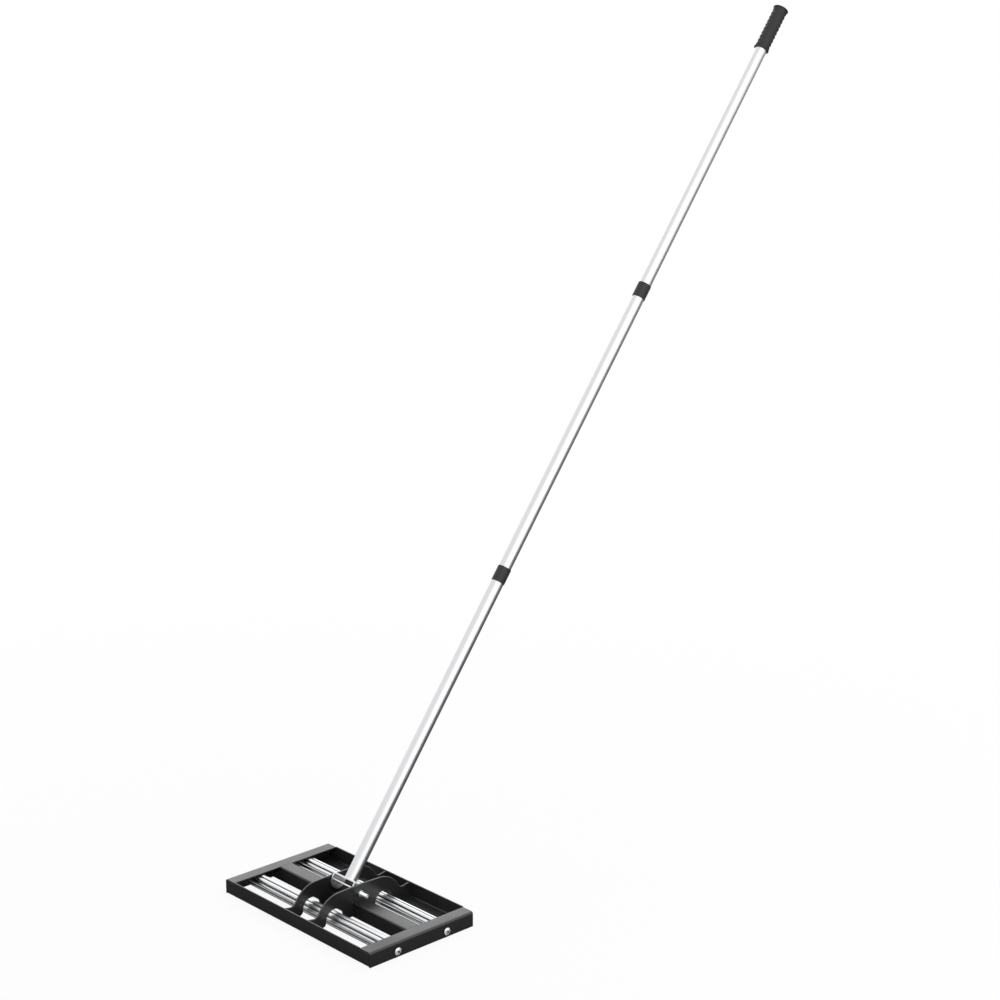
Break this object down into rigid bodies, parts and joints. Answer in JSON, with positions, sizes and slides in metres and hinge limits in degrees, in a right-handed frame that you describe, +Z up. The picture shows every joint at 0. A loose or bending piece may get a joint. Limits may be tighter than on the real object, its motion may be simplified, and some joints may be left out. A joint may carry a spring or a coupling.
{
  "type": "lawn leveling rake",
  "caption": "Lawn leveling rake: open welded head with fluted rollers and arch plates, on a pivoting yoke with a long jointed tube handle and ribbed grip.",
  "frame": {"origin": "middle of the head, on the underside of its frame", "axes": "+X along the head to the right, +Y from the front of the head to its rear, where the handle leans, +Z up"},
  "size_m": [0.4384, 1.3241, 1.6446],
  "materials": {
    "black_paint": "satin black paint on welded steel",
    "roller_chrome": "bright plated fluted tube",
    "black_plastic": "moulded black plastic",
    "bright_plate": "bright zinc plate",
    "tube_steel": "drawn bright steel tube",
    "grip_rubber": "ribbed black rubber"
  },
  "bodies": {
    "handle": {"yoke_strap": "bright_plate", "yoke_brace": "bright_plate", "pivot_studs": "bright_plate", "pivot_spacers": "bright_plate", "pivot_nuts": "bright_plate", "lower_tube": "tube_steel", "lower_joint_spigot": "bright_plate", "lower_joint_sleeve": "black_plastic", "middle_tube": "tube_steel", "upper_joint_spigot": "bright_plate", "upper_joint_sleeve": "black_plastic", "upper_tube": "tube_steel", "hand_grip": "grip_rubber"},
    "head": {"front_angle": "black_paint", "rear_angle": "black_paint", "left_end_angle": "black_paint", "right_end_angle": "black_paint", "middle_bar": "black_paint", "left_arch_plate": "black_paint", "right_arch_plate": "black_paint"},
    "front_roller": {"front_roller_tube": "roller_chrome", "front_roller_bushes": "black_plastic", "front_roller_washers": "black_plastic", "front_roller_screws": "bright_plate"},
    "rear_roller": {"rear_roller_tube": "roller_chrome", "rear_roller_bushes": "black_plastic", "rear_roller_washers": "black_plastic", "rear_roller_screws": "bright_plate"}
  },
  "joints": [
    {"name": "head_pivot", "type": "hinge", "parent": "handle", "child": "head", "pos_m": [0, 0, 0.046], "axis": [1, 0, 0], "range_deg": [-112, 38]},
    {"name": "front_roller_turn", "type": "hinge", "parent": "head", "child": "front_roller", "pos_m": [0, -0.059, 0.0115], "axis": [1, 0, 0], "continuous": true},
    {"name": "rear_roller_turn", "type": "hinge", "parent": "head", "child": "rear_roller", "pos_m": [0, 0.059, 0.0115], "axis": [1, 0, 0], "continuous": true}
  ]
}
